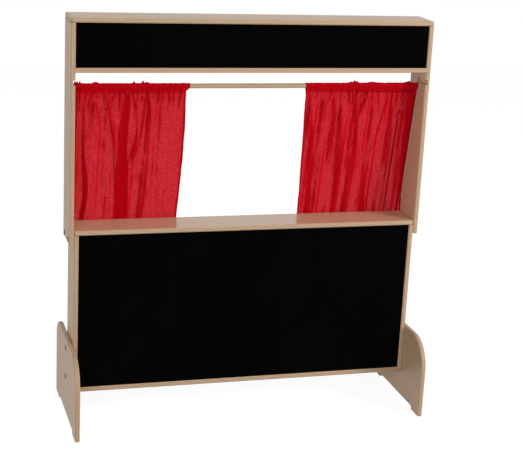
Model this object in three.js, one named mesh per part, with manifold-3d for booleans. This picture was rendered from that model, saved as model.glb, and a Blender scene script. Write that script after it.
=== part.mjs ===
// A puppet theatre for a nursery: an upper frame with a header board over an open stage, bolted
// round a lower box with a front board, on two side feet. Two gathered curtains hang from a dowel
// that lies in J-shaped slots inside the upper sides. Millimetres, +Z up, and the stand faces -Y.
// The origin is on the floor, midway between the feet's front and rear ends.

import * as THREE from "three";
import { mergeVertices } from "three/addons/utils/BufferGeometryUtils.js";
import Module from "manifold-3d";

const wasm = await Module();
wasm.setup();

// Driving dimensions of the whole stand
const overallWidth = 1219.2;
const overallHeight = 1360;
const frameDepth = 135;
const plyThickness = 15.9;
const stageHeight = 667.5;
const upperSideLap = 47.5; // how far an upper side hangs below the stage's top
const boxBottom = 103;
const headerBayHeight = 142;

// Clearances: a glued or resting seat, and the extra length that lets a cut run past a face
const seatGap = 0.3;
const cutOverrun = 5;

// Plywood edges
const edgeRound = 4;
const edgeRoundSteps = 3;
const shelfCornerRadius = 7;

// Boards and the grooves and housings that hold the panels together
const boardThickness = 6.4;
const boardRecess = 5;
const grooveDepth = 5;
const housingDepth = 5;

// Feet
const footLength = 450;
const footHeight = 276;
const footReach = 174; // how far a foot stands in front of the frame
const footFrontRadius = 105;
const footRearRadius = 60;
const footReliefHeight = 12;
const frontPadLength = 68;
const rearPadLength = 76;
const padCornerRadius = 6;

// Curtain rod and the J-slots that hold its ends
const rodDiameter = 15.9;
const rodChamfer = 1;
const rodEndPlay = 1;
const slotDepth = 8;
const slotPlay = 0.8; // round the rod
const slotRun = 66; // from the frame's front edge back to the seat
const slotBelowHeader = 32.6; // from the header panel's underside to the slot's level leg
const slotDrop = 21; // from the level leg down to the seat

// Connector bolts, with cap nuts screwed on from inside the box
const headDiameter = 17;
const headThickness = 2.1;
const headRim = 0.9;
const headCrownInset = 0.9;
const threadDiameter = 6;
const boltLength = 29;
const boltTip = 0.8;
const barrelDiameter = 8.8;
const barrelLength = 13;
const barrelFloor = 1.5;
const barrelPlay = 0.3;
const socketAcrossFlats = 4;
const socketDepth = 2;
const upperBoltInset = 24; // from the frame's front edge
const upperBoltPitch = 78;
const footBoltInset = 51;
const footBoltHeight = 144;
const footBoltPitch = 102;

// Dowels under the top panel and under the stage shelf
const dowelDiameter = 8;
const dowelLength = 30;
const dowelChamfer = 1;
const dowelInUpper = 10.5; // how much of it is in the panel above the joint
const dowelPlay = 0.3;
const topDowelShares = [0.22, 0.8]; // of the frame's depth
const shelfDowelShares = [0.38, 0.61];

// Curtains
const clothThickness = 2;
const hemBelowStage = 15.5; // the hem hangs behind the shelf, level with its underside
const edgePlay = 0.6; // from the shelf's back edge to the folds that lean on it
const seamDrop = 21; // from the rod's centre down to the pocket's seam
const pocketToeDrop = 16; // from the rod's centre to the foot of the pocket's hollow
const frillHeight = 4;
const foldDepth = 8; // from the middle plane to a crest or a trough, at the hem
const seamFoldDepth = 2.6;
const curtainSideGap = 5.7; // from the side panel to the outer edge of a curtain
const leftCurtain = {
  topInnerX: -212,
  hemInnerX: -223,
  hemOuterDrawIn: 4,
  topFoldShares: [0, 0.05, 0.12, 0.21, 0.31, 0.44, 0.55, 0.64, 0.76, 0.87, 1],
  hemFoldShares: [0, 0.07, 0.15, 0.26, 0.37, 0.45, 0.56, 0.66, 0.78, 0.89, 1],
  foldDepthShares: [0.6, 0.8, 0.7, 0.9, 1, 0.9, 1, 0.6, 0.5, 0.6],
};
const rightCurtain = {
  topInnerX: 188,
  hemInnerX: 211,
  hemOuterDrawIn: 4,
  topFoldShares: [0, 0.1, 0.2, 0.28, 0.35, 0.46, 0.6, 0.71, 0.79, 0.9, 1],
  hemFoldShares: [0, 0.11, 0.22, 0.31, 0.41, 0.52, 0.64, 0.73, 0.82, 0.91, 1],
  foldDepthShares: [0.7, 0.9, 0.7, 0.9, 1, 0.9, 1, 0.8, 0.9, 0.7],
};

// Steps in round forms
const arcSteps = 5; // halves of a corner arc's segments
const rodSides = 20;
const boltSides = 16;
const dowelSides = 10;
const hexSides = 6;

// Places that follow from the sizes. Distances from the frame's front edge run towards +Y.
const halfWidth = overallWidth / 2;
const innerX = halfWidth - plyThickness; // inner face of an upper side or a foot
const boxOuterX = innerX - seatGap; // outer face of a lower side
const boxInnerX = boxOuterX - plyThickness;
const footFrontY = -footLength / 2;
const footRearY = footLength / 2;
const frontY = footFrontY + footReach;
const backY = frontY + frameDepth;
const topPanelZ = overallHeight - plyThickness;
const upperSideTop = topPanelZ - seatGap;
const headerPanelTop = topPanelZ - headerBayHeight;
const headerPanelBottom = headerPanelTop - plyThickness;
const upperSideBottom = stageHeight - upperSideLap;
const shelfBottom = stageHeight - plyThickness;
const lowerSideTop = shelfBottom - seatGap;
const boxPanelTop = boxBottom + plyThickness;
const boardFrontY = frontY + boardRecess;
const boardBackY = boardFrontY + boardThickness;

const rodRadius = rodDiameter / 2;
const slotRadius = rodRadius + slotPlay;
const slotLegZ = headerPanelBottom - slotBelowHeader;
const slotSeatZ = slotLegZ - slotDrop;
const slotSeatY = frontY + slotRun;
const rodZ = slotSeatZ - slotPlay + seatGap; // the rod lies at the bottom of its seat
const rodHalfLength = innerX + slotDepth - rodEndPlay;

const upperBoltZ = (upperSideBottom + lowerSideTop) / 2;
const barrelHoleRadius = barrelDiameter / 2 + barrelPlay;
const dowelHoleRadius = dowelDiameter / 2 + dowelPlay;

const pocketInnerRadius = (rodRadius + seatGap) / Math.cos(Math.PI / 9);
const pocketOuterRadius = pocketInnerRadius + clothThickness;
const fallToStage = rodZ - seamDrop - stageHeight;
const curtainFall = fallToStage + hemBelowStage; // from the seam to the hem
const clothMiddleY = backY + edgePlay + clothThickness / 2 + foldDepth; // at the stage's level
const curtainSlant = (clothMiddleY - slotSeatY) / fallToStage; // backwards for each mm of fall

// Materials
const birch = new THREE.MeshStandardMaterial({
  color: 0xd9bd97,
  roughness: 0.42,
  metalness: 0,
});
const dowelWood = new THREE.MeshStandardMaterial({
  color: 0xdcc09a,
  roughness: 0.55,
  metalness: 0,
});
const blackBoard = new THREE.MeshStandardMaterial({
  color: 0x0b0c0e,
  roughness: 0.85,
  metalness: 0,
});
const redCotton = new THREE.MeshStandardMaterial({
  color: 0xc4101c,
  roughness: 0.9,
  metalness: 0,
});
const darkSteel = new THREE.MeshStandardMaterial({
  color: 0x55524e,
  roughness: 0.35,
  metalness: 1,
});

// Solids
function solidOf(geometry) {
  const bare = geometry.index ? geometry.toNonIndexed() : geometry.clone();
  bare.deleteAttribute("normal");
  bare.deleteAttribute("uv");
  const welded = mergeVertices(bare);
  const mesh = new wasm.Mesh({
    numProp: 3,
    vertProperties: welded.attributes.position.array,
    triVerts: new Uint32Array(welded.index.array),
  });
  return new wasm.Manifold(mesh);
}

function geometryOf(solid) {
  const mesh = solid.getMesh();
  const geometry = new THREE.BufferGeometry();
  geometry.setAttribute("position", new THREE.BufferAttribute(mesh.vertProperties, 3));
  geometry.setIndex(new THREE.BufferAttribute(mesh.triVerts, 1));
  geometry.computeVertexNormals();
  return geometry;
}

function block(x, y, z) {
  const geometry = new THREE.BoxGeometry(x[1] - x[0], y[1] - y[0], z[1] - z[0]);
  geometry.translate((x[0] + x[1]) / 2, (y[0] + y[1]) / 2, (z[0] + z[1]) / 2);
  return solidOf(geometry);
}

function cutAll(solid, cutters) {
  return cutters.reduce((left, cutter) => left.subtract(cutter), solid);
}

// Which way a flat piece's outline faces: an outline's two axes, and the way that it is extruded
const facings = {
  level: new THREE.Matrix4(), // outline in X and Y, extruded up
  side: new THREE.Matrix4().makeBasis(
    new THREE.Vector3(0, 1, 0),
    new THREE.Vector3(0, 0, 1),
    new THREE.Vector3(1, 0, 0),
  ), // outline in Y and Z, extruded along +X
  front: new THREE.Matrix4().makeBasis(
    new THREE.Vector3(1, 0, 0),
    new THREE.Vector3(0, 0, 1),
    new THREE.Vector3(0, -1, 0),
  ), // outline in X and Z, extruded along -Y
};

// A sheet of even thickness from its outline, with every edge rounded over by the given radius
function sheetFrom(outline, facing, thickness, start, roundOver = 0) {
  const geometry = new THREE.ExtrudeGeometry(outline, {
    depth: thickness - 2 * roundOver,
    curveSegments: arcSteps,
    bevelEnabled: roundOver > 0,
    bevelSize: roundOver,
    bevelThickness: roundOver,
    bevelOffset: -roundOver,
    bevelSegments: edgeRoundSteps,
  });
  geometry.translate(0, 0, start + roundOver);
  geometry.applyMatrix4(facings[facing]);
  return solidOf(geometry);
}

function rectangle(across, up, cornerRadius = 0) {
  const shape = new THREE.Shape();
  if (cornerRadius === 0) {
    shape.moveTo(across[0], up[0]);
    shape.lineTo(across[1], up[0]);
    shape.lineTo(across[1], up[1]);
    shape.lineTo(across[0], up[1]);
    return shape;
  }
  const [left, right] = [across[0] + cornerRadius, across[1] - cornerRadius];
  const [low, high] = [up[0] + cornerRadius, up[1] - cornerRadius];
  shape.absarc(right, low, cornerRadius, -Math.PI / 2, 0);
  shape.absarc(right, high, cornerRadius, 0, Math.PI / 2);
  shape.absarc(left, high, cornerRadius, Math.PI / 2, Math.PI);
  shape.absarc(left, low, cornerRadius, Math.PI, (3 * Math.PI) / 2);
  return shape;
}

// A piece turned on a lathe: its profile runs from one end of the axis to the other
function turned(profile, sides) {
  const points = profile.map(([radius, along]) => new THREE.Vector2(radius, along));
  return new THREE.LatheGeometry(points, sides);
}

// A round hole along X or Z
function holeAlongX(radius, x, y, z) {
  const geometry = new THREE.CylinderGeometry(radius, radius, x[1] - x[0], boltSides);
  geometry.rotateZ(-Math.PI / 2);
  geometry.translate((x[0] + x[1]) / 2, y, z);
  return solidOf(geometry);
}

function holeAlongZ(radius, x, y, z) {
  const geometry = new THREE.CylinderGeometry(radius, radius, z[1] - z[0], dowelSides);
  geometry.rotateX(Math.PI / 2);
  geometry.translate(x, y, (z[0] + z[1]) / 2);
  return solidOf(geometry);
}

// A mesh whose own origin is the middle of its box
function piece(name, solid, material) {
  const geometry = geometryOf(solid);
  geometry.computeBoundingBox();
  const middle = geometry.boundingBox.getCenter(new THREE.Vector3());
  geometry.translate(-middle.x, -middle.y, -middle.z);
  const mesh = new THREE.Mesh(geometry, material);
  mesh.name = name;
  mesh.position.copy(middle);
  return mesh;
}

// Joints between the panels
const throughX = [boxInnerX - cutOverrun, halfWidth + cutOverrun];
const boardGrooveY = [boardFrontY - seatGap, boardBackY + seatGap];
const topDowelY = topDowelShares.map((share) => frontY + share * frameDepth);
const shelfDowelY = shelfDowelShares.map((share) => frontY + share * frameDepth);
const upperDowelX = (innerX + halfWidth) / 2;
const shelfDowelX = (boxInnerX + boxOuterX) / 2;
const upperBoltY = [frontY + upperBoltInset, frontY + upperBoltInset + upperBoltPitch];
const footBoltY = frontY + footBoltInset;
const footBoltZ = [footBoltHeight, footBoltHeight + footBoltPitch];

function dowelHoles(jointZ, xs, ys) {
  const up = dowelInUpper + dowelPlay;
  const down = dowelLength - dowelInUpper + dowelPlay;
  return xs.flatMap((x) =>
    ys.map((y) => holeAlongZ(dowelHoleRadius, x, y, [jointZ - seatGap - down, jointZ + up])),
  );
}

// The groove that a board's edge sits in, cut into a level panel from z to z + depth
function boardGroove(halfLength, z) {
  return block([-halfLength, halfLength], boardGrooveY, z);
}

// Level panels
function topPanel() {
  const outline = rectangle([-halfWidth, halfWidth], [frontY, backY], shelfCornerRadius);
  const panel = sheetFrom(outline, "level", plyThickness, topPanelZ, edgeRound);
  return cutAll(panel, [
    boardGroove(innerX + grooveDepth, [topPanelZ - cutOverrun, topPanelZ + grooveDepth]),
    ...dowelHoles(topPanelZ, [-upperDowelX, upperDowelX], topDowelY),
  ]);
}

// A panel whose ends are housed in the two side panels, square at the ends
function housedPanel(sideInnerX, bottomZ) {
  const endX = sideInnerX + housingDepth - seatGap;
  const outline = rectangle([-endX - edgeRound, endX + edgeRound], [frontY, backY]);
  const panel = sheetFrom(outline, "level", plyThickness, bottomZ, edgeRound);
  const z = [bottomZ - cutOverrun, bottomZ + plyThickness + cutOverrun];
  const y = [frontY - cutOverrun, backY + cutOverrun];
  const grooveTop = bottomZ + plyThickness;
  return cutAll(panel, [
    block([endX, endX + edgeRound + cutOverrun], y, z),
    block([-endX - edgeRound - cutOverrun, -endX], y, z),
    boardGroove(endX + cutOverrun, [grooveTop - grooveDepth, grooveTop + cutOverrun]),
  ]);
}

function stageShelf() {
  const endX = innerX - seatGap;
  const outline = rectangle([-endX, endX], [frontY, backY], shelfCornerRadius);
  const panel = sheetFrom(outline, "level", plyThickness, shelfBottom, edgeRound);
  return cutAll(panel, [
    boardGroove(boxInnerX + grooveDepth, [shelfBottom - cutOverrun, shelfBottom + grooveDepth]),
    ...dowelHoles(shelfBottom, [-shelfDowelX, shelfDowelX], shelfDowelY),
  ]);
}

// Upright panels of the right-hand side; the left-hand ones are their mirror images
function jSlot() {
  const mouthY = frontY - cutOverrun;
  const outline = new THREE.Shape();
  outline.moveTo(mouthY, slotLegZ - slotRadius);
  outline.lineTo(slotSeatY - slotRadius, slotLegZ - slotRadius);
  outline.lineTo(slotSeatY - slotRadius, slotSeatZ);
  outline.absarc(slotSeatY, slotSeatZ, slotRadius, -Math.PI, 0);
  outline.lineTo(slotSeatY + slotRadius, slotLegZ);
  outline.absarc(slotSeatY, slotLegZ, slotRadius, 0, Math.PI / 2);
  outline.lineTo(mouthY, slotLegZ + slotRadius);
  return sheetFrom(outline, "side", slotDepth + cutOverrun, innerX - cutOverrun);
}

function upperSide() {
  const outline = rectangle([frontY, backY], [upperSideBottom, upperSideTop + edgeRound]);
  const panel = sheetFrom(outline, "side", plyThickness, innerX, edgeRound);
  const depthY = [frontY - cutOverrun, backY + cutOverrun];
  const housingX = [innerX - cutOverrun, innerX + housingDepth];
  const housingZ = [headerPanelBottom - seatGap, headerPanelTop + seatGap];
  const grooveX = [innerX - cutOverrun, innerX + grooveDepth];
  return cutAll(panel, [
    block(throughX, depthY, [upperSideTop, upperSideTop + edgeRound + cutOverrun]),
    block(housingX, depthY, housingZ),
    block(grooveX, boardGrooveY, [headerPanelTop - grooveDepth, upperSideTop + cutOverrun]),
    jSlot(),
    ...upperBoltY.map((y) => holeAlongX(barrelHoleRadius, throughX, y, upperBoltZ)),
    ...dowelHoles(topPanelZ, [upperDowelX], topDowelY),
  ]);
}

function lowerSide() {
  const outline = rectangle([frontY, backY], [boxBottom, lowerSideTop + edgeRound]);
  const panel = sheetFrom(outline, "side", plyThickness, boxInnerX, edgeRound);
  const depthY = [frontY - cutOverrun, backY + cutOverrun];
  const rebateX = [boxInnerX - cutOverrun, boxInnerX + housingDepth];
  const rebateZ = [boxBottom - cutOverrun, boxPanelTop + seatGap];
  const grooveX = [boxInnerX - cutOverrun, boxInnerX + grooveDepth];
  return cutAll(panel, [
    block(throughX, depthY, [lowerSideTop, lowerSideTop + edgeRound + cutOverrun]),
    block(rebateX, depthY, rebateZ),
    block(grooveX, boardGrooveY, [boxPanelTop - grooveDepth, lowerSideTop + cutOverrun]),
    ...upperBoltY.map((y) => holeAlongX(barrelHoleRadius, throughX, y, upperBoltZ)),
    ...footBoltZ.map((z) => holeAlongX(barrelHoleRadius, throughX, footBoltY, z)),
    ...dowelHoles(shelfBottom, [shelfDowelX], shelfDowelY),
  ]);
}

function foot() {
  const outline = new THREE.Shape();
  const padCorner = (y, z, from, to, clockwise) =>
    outline.absarc(y, z, padCornerRadius, from, to, clockwise);
  const right = Math.PI / 2;
  const reliefFrontY = footFrontY + frontPadLength;
  const reliefRearY = footRearY - rearPadLength;
  padCorner(reliefFrontY - padCornerRadius, padCornerRadius, -right, 0, false);
  padCorner(reliefFrontY + padCornerRadius, footReliefHeight - padCornerRadius, 2 * right, right, true);
  padCorner(reliefRearY - padCornerRadius, footReliefHeight - padCornerRadius, right, 0, true);
  padCorner(reliefRearY + padCornerRadius, padCornerRadius, 2 * right, 3 * right, false);
  padCorner(footRearY - padCornerRadius, padCornerRadius, -right, 0, false);
  const rearCentre = [footRearY - footRearRadius, footHeight - footRearRadius];
  outline.absarc(rearCentre[0], rearCentre[1], footRearRadius, 0, right);
  const frontCentre = [footFrontY + footFrontRadius, footHeight - footFrontRadius];
  outline.absarc(frontCentre[0], frontCentre[1], footFrontRadius, right, 2 * right);
  padCorner(footFrontY + padCornerRadius, padCornerRadius, 2 * right, 3 * right, false);
  const panel = sheetFrom(outline, "side", plyThickness, innerX, edgeRound);
  return cutAll(
    panel,
    footBoltZ.map((z) => holeAlongX(barrelHoleRadius, throughX, footBoltY, z)),
  );
}

// Boards, held in the grooves all round
function board(sideInnerX, lowZ, highZ) {
  const endX = sideInnerX + grooveDepth - seatGap;
  const z = [lowZ - grooveDepth + seatGap, highZ + grooveDepth - seatGap];
  return sheetFrom(rectangle([-endX, endX], z), "front", boardThickness, -boardBackY);
}

// Fasteners, drawn with their axis along Y, the head's underside at zero and the shank below it
function headProfile() {
  const rim = headDiameter / 2;
  return [
    [rim, 0],
    [rim, headRim],
    [rim - headCrownInset, headThickness],
    [0, headThickness],
  ];
}

function hexSocket() {
  const radius = socketAcrossFlats / 2 / Math.cos(Math.PI / hexSides);
  const height = socketDepth + cutOverrun;
  const geometry = new THREE.CylinderGeometry(radius, radius, height, hexSides);
  geometry.translate(0, headThickness - socketDepth + height / 2, 0);
  return solidOf(geometry);
}

function connectorBolt() {
  const radius = threadDiameter / 2;
  const profile = [
    [0, -boltLength],
    [radius - boltTip, -boltLength],
    [radius, -boltLength + boltTip],
    [radius, 0],
    ...headProfile(),
  ];
  return solidOf(turned(profile, boltSides)).subtract(hexSocket());
}

function capNut() {
  const bore = threadDiameter / 2 + barrelPlay;
  const profile = [
    [0, -barrelFloor],
    [bore, -barrelFloor],
    [bore, -barrelLength],
    [barrelDiameter / 2, -barrelLength],
    [barrelDiameter / 2, 0],
    ...headProfile(),
  ];
  return solidOf(turned(profile, boltSides)).subtract(hexSocket());
}

// A bolt and its nut across one joint, with the bolt's head on the outer face
function fasteners(name, y, z) {
  const outerX = halfWidth + seatGap;
  const nutX = boxInnerX - seatGap;
  const bolt = new THREE.Mesh(geometryOf(connectorBolt()), darkSteel);
  bolt.name = `connector_bolt_${name}`;
  bolt.position.set(outerX, y, z);
  bolt.rotation.z = -Math.PI / 2;
  const nut = new THREE.Mesh(geometryOf(capNut()), darkSteel);
  nut.name = `cap_nut_${name}`;
  nut.position.set(nutX, y, z);
  nut.rotation.z = Math.PI / 2;
  return [bolt, nut];
}

function dowel(name, x, y, jointZ) {
  const radius = dowelDiameter / 2;
  const profile = [
    [0, 0],
    [radius - dowelChamfer, 0],
    [radius, dowelChamfer],
    [radius, dowelLength - dowelChamfer],
    [radius - dowelChamfer, dowelLength],
    [0, dowelLength],
  ];
  const mesh = new THREE.Mesh(geometryOf(solidOf(turned(profile, dowelSides))), dowelWood);
  mesh.name = name;
  mesh.rotation.x = Math.PI / 2;
  mesh.position.set(x, y, jointZ + dowelInUpper - dowelLength);
  return mesh;
}

function curtainRod() {
  const profile = [
    [0, -rodHalfLength],
    [rodRadius - rodChamfer, -rodHalfLength],
    [rodRadius, rodChamfer - rodHalfLength],
    [rodRadius, rodHalfLength - rodChamfer],
    [rodRadius - rodChamfer, rodHalfLength],
    [0, rodHalfLength],
  ];
  const mesh = new THREE.Mesh(geometryOf(solidOf(turned(profile, rodSides))), dowelWood);
  mesh.name = "curtain_rod";
  mesh.rotation.z = -Math.PI / 2;
  return mesh;
}

// A gathered curtain, in the rod's own frame: a hollow pocket round the rod, a seam, and a hanging
// sheet in deep folds, which slants back to hang behind the shelf. It is lofted from upright
// sections; each fold takes four of them.
const sectionsPerFold = 4;
const sheetLevelShares = [1, 0.78, 0.55, 0.32, 0.12, 0]; // from the hem up to the seam
const pocketAngles = [-25, 15, 52, 90, 128, 165, 205]; // degrees, from the back over the top

function curtainColumns(curtain) {
  const folds = curtain.foldDepthShares.length;
  const columns = [];
  for (let i = 0; i <= folds * sectionsPerFold; i += 1) {
    const fold = Math.min(Math.floor(i / sectionsPerFold), folds - 1);
    const along = i / sectionsPerFold - fold;
    const between = (shares) => THREE.MathUtils.lerp(shares[fold], shares[fold + 1], along);
    columns.push({
      topShare: between(curtain.topFoldShares),
      hemShare: between(curtain.hemFoldShares),
      wave: Math.cos(2 * Math.PI * along) * curtain.foldDepthShares[fold],
    });
  }
  return columns;
}

function curtainSection(curtain, column, outward) {
  const outerX = outward * (innerX - curtainSideGap);
  const hemOuterX = outerX - outward * curtain.hemOuterDrawIn;
  const topX = THREE.MathUtils.lerp(curtain.topInnerX, outerX, column.topShare);
  const hemX = THREE.MathUtils.lerp(curtain.hemInnerX, hemOuterX, column.hemShare);
  const half = clothThickness / 2;
  const sheetPoint = (level, face) => {
    const depth = THREE.MathUtils.lerp(seamFoldDepth, foldDepth, Math.sqrt(level));
    return new THREE.Vector3(
      THREE.MathUtils.lerp(topX, hemX, level),
      curtainSlant * curtainFall * level + column.wave * depth + face * half,
      -seamDrop - curtainFall * level,
    );
  };
  const pocketPoint = (radius, degrees, lift) => {
    const angle = THREE.MathUtils.degToRad(degrees);
    return new THREE.Vector3(topX, radius * Math.cos(angle), radius * Math.sin(angle) + lift);
  };
  const frill = frillHeight * (0.5 - 0.5 * column.wave);
  const outer = [
    ...sheetLevelShares.map((level) => sheetPoint(level, 1)),
    ...pocketAngles.map((degrees) =>
      pocketPoint(pocketOuterRadius, degrees, degrees === 90 ? frill : 0),
    ),
    ...sheetLevelShares.map((level) => sheetPoint(level, -1)).reverse(),
  ];
  const toe = new THREE.Vector3(topX, (column.wave * seamFoldDepth) / 2, -pocketToeDrop);
  const inner = [
    ...pocketAngles.map((degrees) => pocketPoint(pocketInnerRadius, degrees, 0)),
    toe,
  ];
  return { outer, inner };
}

function curtainMesh(name, curtain, outward) {
  const sections = curtainColumns(curtain).map((column) =>
    curtainSection(curtain, column, outward),
  );
  const outerCount = sections[0].outer.length;
  const innerCount = sections[0].inner.length;
  const ring = outerCount + innerCount;
  const positions = sections.flatMap(({ outer, inner }) =>
    [...outer, ...inner].flatMap((point) => point.toArray()),
  );
  const faces = [];
  const quad = (a, b, c, d) => faces.push(a, b, c, a, c, d);
  for (let i = 0; i < sections.length - 1; i += 1) {
    const here = i * ring;
    const next = here + ring;
    for (let k = 0; k < outerCount; k += 1) {
      const after = (k + 1) % outerCount;
      quad(here + k, here + after, next + after, next + k);
    }
    for (let k = 0; k < innerCount; k += 1) {
      const a = outerCount + k;
      const b = outerCount + ((k + 1) % innerCount);
      quad(here + b, here + a, next + a, next + b);
    }
  }
  const flat = (points) => points.map((point) => new THREE.Vector2(point.y, point.z));
  [0, sections.length - 1].forEach((index) => {
    const { outer, inner } = sections[index];
    const base = index * ring;
    THREE.ShapeUtils.triangulateShape(flat(outer), [flat(inner)]).forEach(([a, b, c]) => {
      if (index === 0) faces.push(base + c, base + b, base + a);
      else faces.push(base + a, base + b, base + c);
    });
  });
  if (outward < 0) faces.reverse();
  const geometry = new THREE.BufferGeometry();
  geometry.setAttribute("position", new THREE.Float32BufferAttribute(positions, 3));
  geometry.setIndex(faces);
  geometry.computeVertexNormals();
  const mesh = new THREE.Mesh(geometry, redCotton);
  mesh.name = name;
  return mesh;
}

// The assembly
const stand = new THREE.Group();

const upperFrame = new THREE.Group();
upperFrame.add(
  piece("top_panel", topPanel(), birch),
  piece("header_panel", housedPanel(innerX, headerPanelBottom), birch),
  piece("header_board", board(innerX, headerPanelTop, topPanelZ), blackBoard),
);

const lowerBox = new THREE.Group();
lowerBox.add(
  piece("stage_shelf", stageShelf(), birch),
  piece("bottom_panel", housedPanel(boxInnerX, boxBottom), birch),
  piece("front_board", board(boxInnerX, boxPanelTop, shelfBottom), blackBoard),
);

function sidePieces(hand) {
  const side = new THREE.Group();
  side.add(
    piece(`upper_side_${hand}`, upperSide(), birch),
    piece(`lower_side_${hand}`, lowerSide(), birch),
    piece(`foot_${hand}`, foot(), birch),
    ...fasteners(`upper_front_${hand}`, upperBoltY[0], upperBoltZ),
    ...fasteners(`upper_rear_${hand}`, upperBoltY[1], upperBoltZ),
    ...fasteners(`foot_low_${hand}`, footBoltY, footBoltZ[0]),
    ...fasteners(`foot_high_${hand}`, footBoltY, footBoltZ[1]),
    dowel(`top_dowel_front_${hand}`, upperDowelX, topDowelY[0], topPanelZ),
    dowel(`top_dowel_rear_${hand}`, upperDowelX, topDowelY[1], topPanelZ),
    dowel(`shelf_dowel_front_${hand}`, shelfDowelX, shelfDowelY[0], shelfBottom),
    dowel(`shelf_dowel_rear_${hand}`, shelfDowelX, shelfDowelY[1], shelfBottom),
  );
  return side;
}
const rightSide = sidePieces("right");
const leftSide = sidePieces("left");
leftSide.scale.x = -1;

const curtainSet = new THREE.Group();
curtainSet.position.set(0, slotSeatY, rodZ);
curtainSet.add(
  curtainRod(),
  curtainMesh("curtain_left", leftCurtain, -1),
  curtainMesh("curtain_right", rightCurtain, 1),
);

stand.add(upperFrame, lowerBox, rightSide, leftSide, curtainSet);

export default stand;
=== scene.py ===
# %% [markdown]
# # A puppet theatre for a nursery
# The packed model holds every rigid piece at its real size, so nothing here moves or reshapes
# wood or steel. This script gives those pieces their finish, hangs real cloth where the model
# has two stiff curtain solids, and sets up a camera and a small white studio. Lengths are in
# metres, +Z is up, and the audience sits on the -Y side.

import math
from collections import namedtuple

import bpy
import numpy as np
from mathutils import Matrix, Vector


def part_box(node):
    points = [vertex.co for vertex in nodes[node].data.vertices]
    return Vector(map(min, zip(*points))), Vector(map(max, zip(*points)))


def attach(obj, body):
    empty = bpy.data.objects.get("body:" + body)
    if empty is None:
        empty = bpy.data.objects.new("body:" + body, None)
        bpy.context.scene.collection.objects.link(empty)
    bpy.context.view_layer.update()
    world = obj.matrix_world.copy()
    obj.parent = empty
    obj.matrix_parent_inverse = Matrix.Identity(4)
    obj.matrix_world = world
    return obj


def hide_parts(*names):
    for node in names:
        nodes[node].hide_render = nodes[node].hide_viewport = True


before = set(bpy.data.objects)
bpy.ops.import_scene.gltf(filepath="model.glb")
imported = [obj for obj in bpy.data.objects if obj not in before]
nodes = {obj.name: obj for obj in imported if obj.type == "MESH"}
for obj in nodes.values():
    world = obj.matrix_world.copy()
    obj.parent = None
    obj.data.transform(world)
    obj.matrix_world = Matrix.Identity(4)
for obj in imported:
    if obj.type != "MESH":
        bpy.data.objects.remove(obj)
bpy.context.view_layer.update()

# %% [markdown]
# ## The camera
# A camera can be placed by typing coordinates, but a photographer thinks of a subject to aim at,
# a direction to stand in, a distance and a lens. That is how it is given here. The slight roll
# is real: the stand leans a little in the picture. The lens is a short telephoto, which keeps
# the uprights nearly parallel.

# %% Set the camera
CAMERA_AIM = Vector((0.0386, -0.051, 0.6552))
CAMERA_DISTANCE = 4.569
CAMERA_AZIMUTH, CAMERA_ELEVATION, CAMERA_ROLL = (math.radians(a) for a in (-16.83, 16.18, 2.90))
CAMERA_LENS_MM = 93.34


def camera_axes(azimuth, elevation, roll):
    """The camera's right, up and backward directions."""
    level = math.cos(elevation)
    back = Vector((math.sin(azimuth) * level, -math.cos(azimuth) * level, math.sin(elevation)))
    right = (-back).cross(Vector((0, 0, 1))).normalized()
    up = right.cross(-back)
    turned_right = right * math.cos(roll) + up * math.sin(roll)
    turned_up = up * math.cos(roll) - right * math.sin(roll)
    return turned_right, turned_up, back


right, up, back = camera_axes(CAMERA_AZIMUTH, CAMERA_ELEVATION, CAMERA_ROLL)
camera = bpy.data.objects.new("camera", bpy.data.cameras.new("camera"))
camera.data.lens = CAMERA_LENS_MM
camera.location = CAMERA_AIM + back * CAMERA_DISTANCE
camera.rotation_mode = "QUATERNION"
camera.rotation_quaternion = Matrix((right, up, back)).transposed().to_quaternion()
bpy.context.scene.collection.objects.link(camera)
bpy.context.scene.camera = camera
bpy.context.scene.view_settings.view_transform = "Standard"
print("camera at", tuple(round(x, 3) for x in camera.location))

# %% [markdown]
# ## Writing materials as sums
# A material is a graph of nodes. Wiring it by hand takes several lines for each multiplication,
# which hides the idea. So one small class wraps a socket and lets Python's operators add the
# Math nodes: `1 - mask * 0.4` reads like the sum that it is.

# %% A socket that can be added, multiplied and compared


class Value:
    """A socket in a node graph. Each operator adds the Math node that works it out."""

    def __init__(self, graph, socket):
        self.graph = graph
        self.socket = socket

    def math(self, operation, *values):
        return self.graph.node("ShaderNodeMath", {"operation": operation}, dict(enumerate(values)))

    def __add__(self, other):
        return self.math("ADD", self, other)

    def __sub__(self, other):
        return self.math("SUBTRACT", self, other)

    def __rsub__(self, other):
        return self.math("SUBTRACT", other, self)

    def __mul__(self, other):
        return self.math("MULTIPLY", self, other)

    __radd__ = __add__
    __rmul__ = __mul__

    def __mod__(self, other):
        return self.math("FLOORED_MODULO", self, other)

    def __abs__(self):
        return self.math("ABSOLUTE", self)

    def floor(self):
        return self.math("FLOOR", self)

    def sine(self):
        return self.math("SINE", self)

    def least(self, other):
        return self.math("MINIMUM", self, other)

    def most(self, other):
        return self.math("MAXIMUM", self, other)

    def step(self, low, high):
        """0 below low, 1 above high, and a smooth S between them."""
        inputs = {"Value": self, "From Min": low, "From Max": high}
        return self.graph.node("ShaderNodeMapRange", {"interpolation_type": "SMOOTHSTEP"}, inputs)


print("besides its sums, a Value has", ", ".join(name for name in vars(Value) if name[0] != "_"))

# %% [markdown]
# Colours and directions can't be summed in this way, because a Math node keeps only one number
# of a colour. They go through Mix and Vector Math nodes. A second class therefore holds the graph
# and adds any node by one method: it takes the node's type, then its settings, and last the
# numbers or links for its sockets. The methods below it are short names for the nodes that the
# finishes use most.

# %% A node graph with one method for every node


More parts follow.
